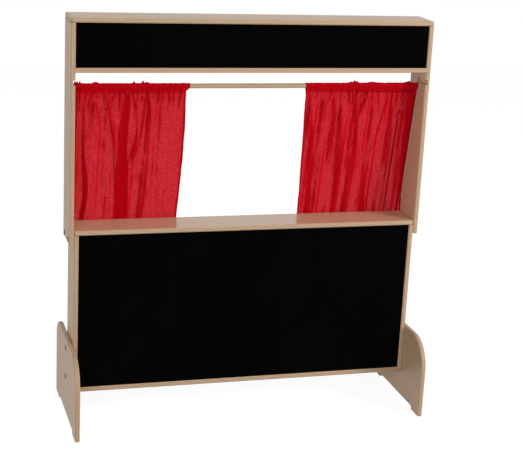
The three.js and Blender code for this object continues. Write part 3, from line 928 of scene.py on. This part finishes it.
# %% Waves and puckers in a row
WAVES = ((61 * MM, 1.3 * MM, 0.9), (37 * MM, 0.9 * MM, -1.7), (23 * MM, 0.45 * MM, 2.6))
WAVE_DRIFT = 1.4
WAVES_START = 0.12  # the share of the fall over which the waves grow
CALM_EDGE = 18 * MM  # the width over which the waves die away
CALMED = 0.8  # how much of the waves is missing in the calm stretch
PUCKER_FADE = 1.4  # the power of the fading
PUCKER_SPREAD = 6  # how many of its widths a pucker gains over the whole fall
LEAST_PUCKER = 0.02 * MM


def add_waves(curtain, x, y, level):
    low, high = (end * MM for end in curtain.calm)
    soft = CALM_EDGE / 3
    calm = risen(x - low, soft) * risen(high - x, soft)
    for length, height, turn in WAVES:
        wave = np.sin(2 * math.pi * x / length + turn * (1 + WAVE_DRIFT * level))
        y += min(1.0, level / WAVES_START) * curtain.sway * height * wave * (1 - CALMED * calm)


def add_puckers(puckers, x, y, level, fullness):
    for pucker in puckers:
        faded = math.exp(-((level / pucker.fade) ** PUCKER_FADE))
        height = fullness * pucker.height * faded
        if abs(height) > LEAST_PUCKER:
            middle = pucker.place + pucker.drift * level
            width = pucker.width * (1 + PUCKER_SPREAD * level)
            y += height * np.exp(-(((x - middle) / width) ** 2))


def row_curve(curtain, shapes, puckers, ends, row, fullness):
    """Along one row: its x and its depth, with its pleats and puckers as full as is asked."""
    x, y = folded_row(shapes, ends, row, fullness)
    add_waves(curtain, x, y, LEVELS[row])
    add_puckers(puckers, x, y, LEVELS[row], fullness)
    return x, y


print("waves", [round(length / MM) for length, _, _ in WAVES], "mm long")

# %% [markdown]
# Cotton doesn't stretch, so every row must use up the same width of cloth. Fuller pleats use more
# of it. The fullness that fits a row is found in a few tries, each aimed by the line through the
# last two, and the next row starts from there. Then the row is cut into equal steps.

# %% Make a row as long as the cloth is wide
FULLNESS_TRIES = 5
FULLNESS_LIMITS = (0.2, 2.5)
FIRST_RATE = 0.3  # metres of cloth that 1 more of fullness uses, at a guess
LEAST_RATE = 0.05
SAME = 1e-6


def row_points(curtain, parts, row, across, fullness):
    """The x and the depth of a row at its stations, and the fullness that it took."""
    tried = []
    for _ in range(FULLNESS_TRIES):
        x, y = row_curve(curtain, *parts, row, fullness)
        travelled = np.concatenate([[0], np.hypot(np.diff(x), np.diff(y)).cumsum()])
        tried.append((fullness, travelled[-1]))
        rate = FIRST_RATE
        if len(tried) > 1 and abs(tried[-1][0] - tried[-2][0]) > SAME:
            rate = (tried[-1][1] - tried[-2][1]) / (tried[-1][0] - tried[-2][0])
        missing = curtain.flat_width - travelled[-1]
        fullness += missing / max(LEAST_RATE, rate)
        fullness = min(FULLNESS_LIMITS[1], max(FULLNESS_LIMITS[0], fullness))
    shares = travelled * curtain.flat_width / travelled[-1]
    return np.interp(across, shares, x), np.interp(across, shares, y), tried[-1][0]


print("each row is fitted in", FULLNESS_TRIES, "tries")

# %% [markdown]
# ## The profile of the pocket and the hems
# Down the cloth, the sheet follows a profile: from the raw edge behind the rod up round the rod
# and down to the seam, then down and back to the hem, and up again behind it. Each point of the
# pocket's profile says how far it is behind and above the rod's axis, and which way is out.

# %% The profile of the pocket
POCKET_ARC = np.radians(np.linspace(-25, 205, 17))


def pocket_rows():
    """Depth behind and height over the rod's axis, the way out, and how much of it is pocket."""
    radius = ROD_RADIUS + POCKET_EASE
    start = Vector((radius * math.cos(POCKET_ARC[0]), radius * math.sin(POCKET_ARC[0])))
    front_start = Vector((-start.x, start.y))
    seam, front_seam = Vector((LAYER_GAP, -SEAM_DROP)), Vector((-LAYER_GAP, -SEAM_DROP))
    raw_edge = seam + Vector((LAYER_GAP + SLANT * SEAM_ALLOWANCE, -SEAM_ALLOWANCE))
    back, front = Vector((1, 0)), Vector((-1, 0))
    rows = [(raw_edge.lerp(seam, t), back, 0.0) for t in (0.0, 0.5)]
    rows += [(seam.lerp(start, t), back, t) for t in (0.0, 0.25, 0.5, 0.75)]
    for angle in POCKET_ARC:
        out = Vector((math.cos(angle), math.sin(angle)))
        rows.append((out * radius, out, 1.0))
    rows += [(front_seam.lerp(front_start, t), front, t) for t in (0.75, 0.5, 0.25)]
    return rows


print(len(pocket_rows()), "rows round the rod")

# %% [markdown]
# Across the cloth, a double hem at each side is turned in twice. Its stations are counted on past
# the cloth's edge, as if the hem were flat, and are then folded back behind it in two layers.

# %% The stations across and their side hems
STATION_STEP = 1.25 * MM
HEM_STATIONS = np.array([0.06, 0.35, 0.65, 0.94, 1.06, 1.35, 1.65, 1.94]) * SIDE_HEM


def stations_of(width):
    """Places across the cloth from one raw edge to the other, with the hems past 0 and width."""
    inner = np.linspace(0, width, round(width / STATION_STEP) + 1)
    return np.concatenate([-HEM_STATIONS[::-1], inner, width + HEM_STATIONS])


def hem_fold(stations, width, hem):
    """Where each place of a strip with a double hem at both ends lies, and how far behind."""
    over = np.where(stations < 0, -stations, stations - width)
    turned = np.clip(over, 0, hem)
    again = np.clip(over - hem, 0, hem)
    inward = turned - again
    place = np.where(stations < 0, inward, np.where(stations > width, width - inward, stations))
    return place, np.where(again > 0, 1.0, np.where(turned > 0, 2.0, 0.0)) * LAYER_GAP


print(len(stations_of(left_curtain.flat_width)), "stations across the left curtain")

# %% [markdown]
# The pocket takes over the seam's gathers, nearly smoothed out, and adds fine ripples of its own.
# Its two ends flare a little, and along the top the cloth stands up in frills where it is bunched.

# %% Frills and flares
FLARE_REACH = 45 * MM
FRILL_RISE = 1.7  # over the height that each frill gives


def frill_of(curtain, x):
    """The height of the crests over the rod."""
    frill = np.zeros(len(x))
    for place, height, width in curtain.frills:
        frill += FRILL_RISE * height * MM * np.exp(-(((x / MM - place) / width) ** 2))
    return frill


def flare_of(curtain, x, low, high):
    """How far the pocket spreads sideways near its two ends."""
    near_low, near_high = (
        np.clip(1 - abs(x - end) / FLARE_REACH, 0, 1) ** 2 for end in (low, high)
    )
    return (near_low * curtain.flare[0] + near_high * curtain.flare[1]) * MM


crests = frill_of(right_curtain, np.linspace(*seam_ends(right_curtain), ROW_STEPS))
print("the highest frill on the right rises", round(crests.max() / MM, 1), "mm")

# %% The rows round the rod
RIPPLE_HEIGHT = 0.95 * MM
RIPPLE_TWIST = 1.3  # radians by which a ripple leans on its way up to the top of the rod
GATHERS_KEPT = 0.07  # how much of the seam's gathers is left round the rod
SEAM_FADE = 3  # the power by which they are lost between the seam and the rod
FRILL_TOP = 4  # the power that keeps the frills to the top of the rod


def pocket_of(curtain, seam, behind, low, high):
    """The rows round the rod: nearly smooth, finely rippled, with a few frills along the top."""
    x, y = seam
    flare, frill = flare_of(curtain, x, low, high), frill_of(curtain, x)
    chance = np.random.default_rng(curtain.seed + 1)
    turns = smoothed(chance.normal(0, 1, len(x)), 1).cumsum()
    rows = []
    for place, out, puffed in pocket_rows():
        ripple = RIPPLE_HEIGHT * (1 + np.sin(turns + RIPPLE_TWIST * out.y)) / 2
        crest = frill * max(0.0, out.y) ** FRILL_TOP
        lift = puffed * (GATHERS_KEPT * (y.max() - y) + ripple + crest)
        depth = place.x + out.x * (lift - behind) + (1 - puffed) ** SEAM_FADE * y
        height = place.y + out.y * (lift - behind)
        rows.append(np.stack([x + puffed * flare, ROD_Y + depth, ROD_Z + height], 1))
    return rows


print("the pocket's ripples are up to", RIPPLE_HEIGHT / MM, "mm high")

# %% [markdown]
# ## Weave the rows into a sheet
# Just below the seam the gathers spring forward, as stiff small folds do. From there each row is
# set a little lower and further back than the last, down to the hem, which is turned up behind in
# two layers. Put together, the rows are a grid of points, and the grid is the cloth.

# %% The double hem
HEM_RISE = np.linspace(0.05, 1, 4)  # the rows of each layer, as shares of the hem's depth


def hem_rows(sheet):
    """The rows of the double hem, which repeat the sheet's own rows behind it."""
    rows = []
    for layer, shares in ((2, HEM_RISE), (1, HEM_RISE[::-1])):
        for share in shares:
            at = np.interp(1 - share * HEM_DEPTH / FALL, LEVELS, np.arange(SHEET_ROWS))
            low, part = int(at), at - int(at)
            raised = sheet[low] * (1 - part) + sheet[min(low + 1, SHEET_ROWS - 1)] * part
            rows.append(raised + (0, layer * LAYER_GAP, 0))
    return rows


print(2 * len(HEM_RISE), "rows in a double hem of", HEM_DEPTH / MM, "mm")

# %% All the rows of a curtain
SPRING_DEPTH = 2.4 * MM  # how far the gathers spring forward just below the seam
SPRING_REACH = 9 * MM
DENTS_START = 0.15  # the share of the fall over which the dents grow
Sheet = namedtuple("Sheet", "grid stations seam_row")


def sheet_of(curtain):
    """The whole cloth: its rows of points, the stations across it, and the row of the seam."""
    stations = stations_of(curtain.flat_width)
    across, behind = hem_fold(stations, curtain.flat_width, SIDE_HEM)
    (lows,), (highs,) = course_of(curtain.low_edge), course_of(curtain.high_edge)
    pleats = (*curtain.pleats, *tucks_of(curtain, lows[0], highs[0]))
    shapes = [shape_of(pleat) for pleat in sorted(pleats, key=lambda pleat: pleat.course[0][1])]
    puckers = puckers_of(curtain, lows[0], highs[0])
    dents = sum(crumple_of(curtain, len(stations), *dent) for dent in DENTS)
    sheet, fullness = [], 1.0
    for row, level in enumerate(LEVELS):
        parts = (shapes, puckers, (lows[row], highs[row]))
        x, y, fullness = row_points(curtain, parts, row, across, fullness)
        if row == 0:
            pocket = pocket_of(curtain, (x, y), behind, lows[0], highs[0])
        spring = level * FALL / SPRING_REACH
        bulge = SPRING_DEPTH * spring * math.exp(1 - spring)
        dent = dents[row] * min(1.0, level / DENTS_START)
        depth = y - bulge + dent + behind + SLANT * level * FALL
        sheet.append(np.stack([x, ROD_Y + depth, np.full_like(x, SEAM_Z - level * FALL)], 1))
    sheet = np.array(sheet)
    return Sheet(np.concatenate([pocket, sheet, hem_rows(sheet)]), stations, len(pocket))


sheets = {curtain.name: sheet_of(curtain) for curtain in (left_curtain, right_curtain)}
for name, sheet in sheets.items():
    print(name, "is a grid of", sheet.grid.shape[0], "by", sheet.grid.shape[1], "points")

# %% [markdown]
# The material needs to know where each thread is, so the grid's flat lengths become a UV map in
# metres: across, the stations, and down, the typical distance from one row to the next.

# %% A mesh from a grid of points


def flat_lengths(sheet):
    """How far down the flat cloth each row is."""
    steps = np.linalg.norm(np.diff(sheet.grid, axis=0), axis=2)
    return np.concatenate([[0], np.median(steps, axis=1).cumsum()])


def cloth_object(curtain, sheet):
    row_count, column_count = sheet.grid.shape[:2]
    corner = np.arange(row_count * column_count).reshape(row_count, column_count)
    quads = np.stack([corner[:-1, :-1], corner[1:, :-1], corner[1:, 1:], corner[:-1, 1:]], -1)
    mesh = bpy.data.meshes.new(f"{curtain.name}_cloth")
    mesh.from_pydata(sheet.grid.reshape(-1, 3).tolist(), [], quads.reshape(-1, 4).tolist())
    threads = mesh.uv_layers.new(name="threads")
    vertex = np.empty(len(mesh.loops), int)
    mesh.loops.foreach_get("vertex_index", vertex)
    across = sheet.stations[vertex % column_count]
    down = flat_lengths(sheet)[vertex // column_count]
    threads.data.foreach_set("uv", np.stack([across, down], 1).ravel())
    mesh.polygons.foreach_set("use_smooth", np.ones(len(mesh.polygons), bool))
    cloth = bpy.data.objects.new(f"{curtain.name}_cloth", mesh)
    bpy.context.scene.collection.objects.link(cloth)
    return cloth


for name, sheet in sheets.items():
    print(name, "is", round(flat_lengths(sheet)[-1], 3), "m long with its hems turned out")

# %% [markdown]
# ## Thin red cotton
# This cotton is a loose plain weave. Seen close, it is a grid of threads with slubs, which are
# the places where the yarn is thicker. Light comes through it in two ways: the yarn glows, which
# a Translucent shader does, and a little white gets straight through the holes, which is a
# slightly lower alpha. Both are stronger where the weave is loose and where the cloth faces the
# audience. Partly this is real, since cloth that is seen edge-on has more yarn in the way, and
# partly it is painted shade: the flanks of pleats and gathers turn away from -Y, get less glow and
# fewer holes, and so are painted a deeper, darker red, as if they lay in shade. One layer is a
# paler, pinker red than three, and since the glow is spread light, a pleat that stands off from
# the cloth behind it has a soft edge.

# %% Colours and sizes of the weave
COTTON_RED = (0.500, 0.0001, 0.0060, 1.0)
COTTON_LIGHT = (0.680, 0.0004, 0.0090, 1.0)
COTTON_GLOW = (0.950, 0.0700, 0.0950, 1.0)
THREAD_PITCH = 0.55 * MM
YARN_SCALE = 700.0
WEAVE_SCALE = 560.0
PATCH_SCALE = 140.0
STREAK_SCALE = 22.0
CRUMPLE_SCALE = 70.0
LOOSENESS = (0.38, 0.62)
GLOW_SHARE = 0.45  # how much of the shading is glow where the weave is loose
HOLE_SHARE = 0.014  # and how much of the cloth is holes
print("cotton of", round(10 * MM / THREAD_PITCH), "threads to the centimetre")

# %% Cotton finish


def red_cotton(name):
    material, graph = new_finish(name)
    threads = graph.node("ShaderNodeUVMap", {"uv_map": "threads"})

    def drawn(u_share, v_share, scale):
        """Noise drawn out along the threads of one direction."""
        return graph.noise(graph.stretched(threads, (u_share, v_share, 1.0)), scale, detail=2.0)

    u, v, _ = graph.parts(threads)
    turn = 2 * math.pi / THREAD_PITCH
    weave = (u * turn).sine() * (v * turn).sine()
    thick_weft = drawn(0.05, 1.0, YARN_SCALE).step(0.3, 0.75)
    thick_warp = drawn(1.0, 0.05, YARN_SCALE).step(0.3, 0.75)
    slub = thick_weft * 0.55 + thick_warp * 0.45
    loose_weft = drawn(0.13, 1.0, WEAVE_SCALE).step(*LOOSENESS)
    loose_warp = drawn(1.0, 0.13, WEAVE_SCALE).step(*LOOSENESS)
    patch = graph.noise(threads, PATCH_SCALE, detail=5.0, roughness=0.85)
    streak = drawn(1.0, 0.2, STREAK_SCALE)
    crumple = graph.noise(threads, CRUMPLE_SCALE, detail=3.0, distortion=0.5)

    facing = graph.parts(graph.node("ShaderNodeTexCoord", output="Normal"))[Y]
    # Painted shade: cloth that turns away from the audience, on the flanks of pleats and gathers,
    # gets fewer holes and less glow, so it is painted a deeper, darker red. Only part of this is
    # the extra yarn that edge-on cloth really puts in the way.
    painted_face_on_light = abs(facing).step(0.84, 1.0)
    loose = loose_weft * 0.26 + loose_warp * 0.20 + patch.step(0.41, 0.59) * 0.54
    # The weave's real looseness, times the painted fold shade above, sets the holes and the glow.
    open_weave_and_painted_shade = (loose + (1 - slub) * 0.15) * (streak * 0.8 + 0.6) * (painted_face_on_light * 0.9 + 0.1)
    tone = slub * 0.3 + loose_weft * 0.4 + patch.step(*LOOSENESS) * 0.3
    relief = slub * 0.5 + weave * 0.25 + patch * 0.8 + crumple * 1.2
    body = {
        "Base Color": graph.mix(tone, COTTON_RED, COTTON_LIGHT),
        "Roughness": slub * 0.1 + 0.74,
        "Alpha": 1 - open_weave_and_painted_shade * HOLE_SHARE,
        "Normal": graph.bump(relief, strength=0.6, depth=0.0008),
        "Specular IOR Level": 0.05,
    }
    glow = graph.node("ShaderNodeBsdfTranslucent", None, {"Color": COTTON_GLOW})
    shares = {0: open_weave_and_painted_shade * GLOW_SHARE, 1: principled(graph, body), 2: glow}
    graph.surface(graph.node("ShaderNodeMixShader", None, shares))
    return material


cotton = red_cotton("red_cotton")
print(len(cotton.node_tree.nodes), "nodes in the cotton finish")

# %% [markdown]
# ## Stitching
# A machine sews the pocket and the hems with short, even stitches. A line of them follows a line
# of points on the cloth. Each stitch is a small closed tube: four rings of points, wide in the
# middle and narrow where the thread dives into the cloth, and a cap at each end.

# %% The points of a line of stitches
STITCH_PITCH = 2.6 * MM
THREAD_RADIUS = 0.26 * MM
STITCH_STATIONS = np.array([0.12, 0.3, 0.7, 0.88])  # its four rings, as shares of the pitch
STITCH_RISE = np.array([-0.4, 0.5, 0.5, -0.4]) * THREAD_RADIUS
STITCH_GIRTH = np.array([0.5, 1.0, 1.0, 0.5]) * THREAD_RADIUS
STITCH_SIDES = 5
STITCH_RINGS = len(STITCH_STATIONS)


def on_line(points, travelled, places):
    return np.stack([np.interp(places, travelled, points[:, axis]) for axis in range(3)], -1)


def unit(vectors):
    return vectors / np.linalg.norm(vectors, axis=-1, keepdims=True)


def stitch_points(points, out):
    """The points of the stitches along a line of points, with the ways out of the cloth."""
    travelled = np.concatenate([[0], np.linalg.norm(np.diff(points, axis=0), axis=1).cumsum()])
    count = int(travelled[-1] / STITCH_PITCH)
    places = (np.arange(count)[:, None] + STITCH_STATIONS) * STITCH_PITCH
    middle, up = on_line(points, travelled, places), unit(on_line(out, travelled, places))
    middle = middle + up * STITCH_RISE[:, None]
    along = unit(middle[:, -1] - middle[:, 0])[:, None]
    side = unit(np.cross(along, up))
    rings = []
    for k in range(STITCH_SIDES):
        angle = 2 * math.pi * k / STITCH_SIDES
        way = side * math.cos(angle) + up * math.sin(angle)
        rings.append(middle + way * STITCH_GIRTH[:, None])
    return np.stack(rings, 2).reshape(-1, 3)


print(STITCH_RINGS * STITCH_SIDES, "points on each stitch")

# %% The faces of a stitch


def stitch_faces(first):
    """The faces of one stitch, whose points start at a number: its sides and its two caps."""
    last = first + (STITCH_RINGS - 1) * STITCH_SIDES
    faces = []
    for k in range(STITCH_SIDES):
        a, b = first + k, first + (k + 1) % STITCH_SIDES
        for low in range(0, last - first, STITCH_SIDES):
            high = low + STITCH_SIDES
            faces.append((a + low, b + low, b + high, a + high))
    faces.append(tuple(range(first + STITCH_SIDES - 1, first - 1, -1)))
    faces.append(tuple(range(last, last + STITCH_SIDES)))
    return faces


print(len(stitch_faces(0)), "faces on each stitch")

# %% [markdown]
# The seam, the hem and the two side hems are sewn, and each line shows on both faces of the cloth.
# The way out of the cloth comes from its grid: it is square to the step across and the step down.

# %% Where the cloth is sewn
SIDE_INSET = 1.3 * MM  # from the inner edge of the side hem to its stitches
HEM_INSET = 1.5 * MM  # and from the upper edge of the bottom hem
FRONT_LIFT = 0.2 * THREAD_RADIUS
BACK_LIFT = 2.4 * LAYER_GAP  # the stitches behind lie on the hem's own layers
NOT_ZERO = 1e-9


def sewing_lines(curtain, sheet):
    """Lines of points on both faces of the cloth, with the ways out of it."""
    grid, stations, seam_row = sheet
    out = unit(np.cross(np.gradient(grid, axis=1), np.gradient(grid, axis=0)))
    out *= -np.sign(out[..., 1:2] + NOT_ZERO)
    inner = np.flatnonzero((stations >= 0) & (stations <= curtain.flat_width))
    inset = round((SIDE_HEM - SIDE_INSET) / STATION_STEP)
    rows = slice(seam_row, seam_row + SHEET_ROWS)
    hem_row = seam_row + np.searchsorted(LEVELS, 1 - (HEM_DEPTH - HEM_INSET) / FALL)
    lines = ((seam_row, inner), (hem_row, inner), (rows, inner[inset]), (rows, inner[-1 - inset]))
    for line in lines:
        for face, lift in ((1, FRONT_LIFT), (-1, BACK_LIFT)):
            yield grid[line] + face * out[line] * lift, face * out[line]


sewn = len(list(sewing_lines(left_curtain, sheets["curtain_left"])))
print(sewn, "lines of stitches on each curtain")

# %% [markdown]
# The thread is the curtains' own red. It is spun tighter than the cotton's yarn, so it is a little
# smoother, and a very fine noise stands for its strands. All the stitches of one curtain are one
# mesh, since they move as one and a thousand small objects would only slow Blender down.

# %% Sewing thread
THREAD_DARK = (0.42, 0.001, 0.004, 1.0)
THREAD_LIGHT = (0.66, 0.006, 0.012, 1.0)
STRAND_SCALE = 3000.0


def red_thread(name):
    material, graph = new_finish(name)
    place = graph.node("ShaderNodeTexCoord", output="Object")
    strand = graph.noise(place, STRAND_SCALE, detail=1.0)
    inputs = {
        "Base Color": graph.mix(strand, THREAD_DARK, THREAD_LIGHT),
        "Roughness": strand * 0.2 + 0.42,
        "Normal": graph.bump(strand, strength=0.4, depth=0.0001),
    }
    graph.surface(principled(graph, inputs))
    return material


thread = red_thread("red_thread")
print(len(thread.node_tree.nodes), "nodes in the thread finish")

# %% The stitching of one curtain


def stitching_object(curtain, sheet):
    lines = [stitch_points(points, out) for points, out in sewing_lines(curtain, sheet)]
    vertices = np.concatenate(lines)
    firsts = range(0, len(vertices), STITCH_RINGS * STITCH_SIDES)
    faces = [face for first in firsts for face in stitch_faces(first)]
    mesh = bpy.data.meshes.new(f"{curtain.name}_stitching")
    mesh.from_pydata(vertices.tolist(), [], faces)
    mesh.polygons.foreach_set("use_smooth", np.ones(len(mesh.polygons), bool))
    mesh.materials.append(thread)
    stitching = bpy.data.objects.new(f"{curtain.name}_stitching", mesh)
    bpy.context.scene.collection.objects.link(stitching)
    return stitching


seam_points, seam_out = next(sewing_lines(left_curtain, sheets["curtain_left"]))
stitch_size = STITCH_RINGS * STITCH_SIDES
print(len(stitch_points(seam_points, seam_out)) // stitch_size, "stitches along the left seam")

# %% [markdown]
# ## Hang the two curtains
# The cloth takes the place of the stiff solid, which stays in the model for collision. Cloth and
# stitches ride on the curtain's own body, so they slide along the rod with it and rise when the
# rod is lifted. Last, the size that each cloth was cut to is printed.

# %% Hang the two curtains
for curtain in (left_curtain, right_curtain):
    sheet = sheets[curtain.name]
    flat = (float(np.ptp(sheet.stations)), float(flat_lengths(sheet)[-1]))
    cloth, stitching = cloth_object(curtain, sheet), stitching_object(curtain, sheet)
    cloth.data.materials.append(cotton)
    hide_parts(curtain.name)
    for piece in (cloth, stitching):
        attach(piece, curtain.body)
    print(curtain.name, len(cloth.data.polygons), "faces, cut to", [round(x, 3) for x in flat], "m")

# %% [markdown]
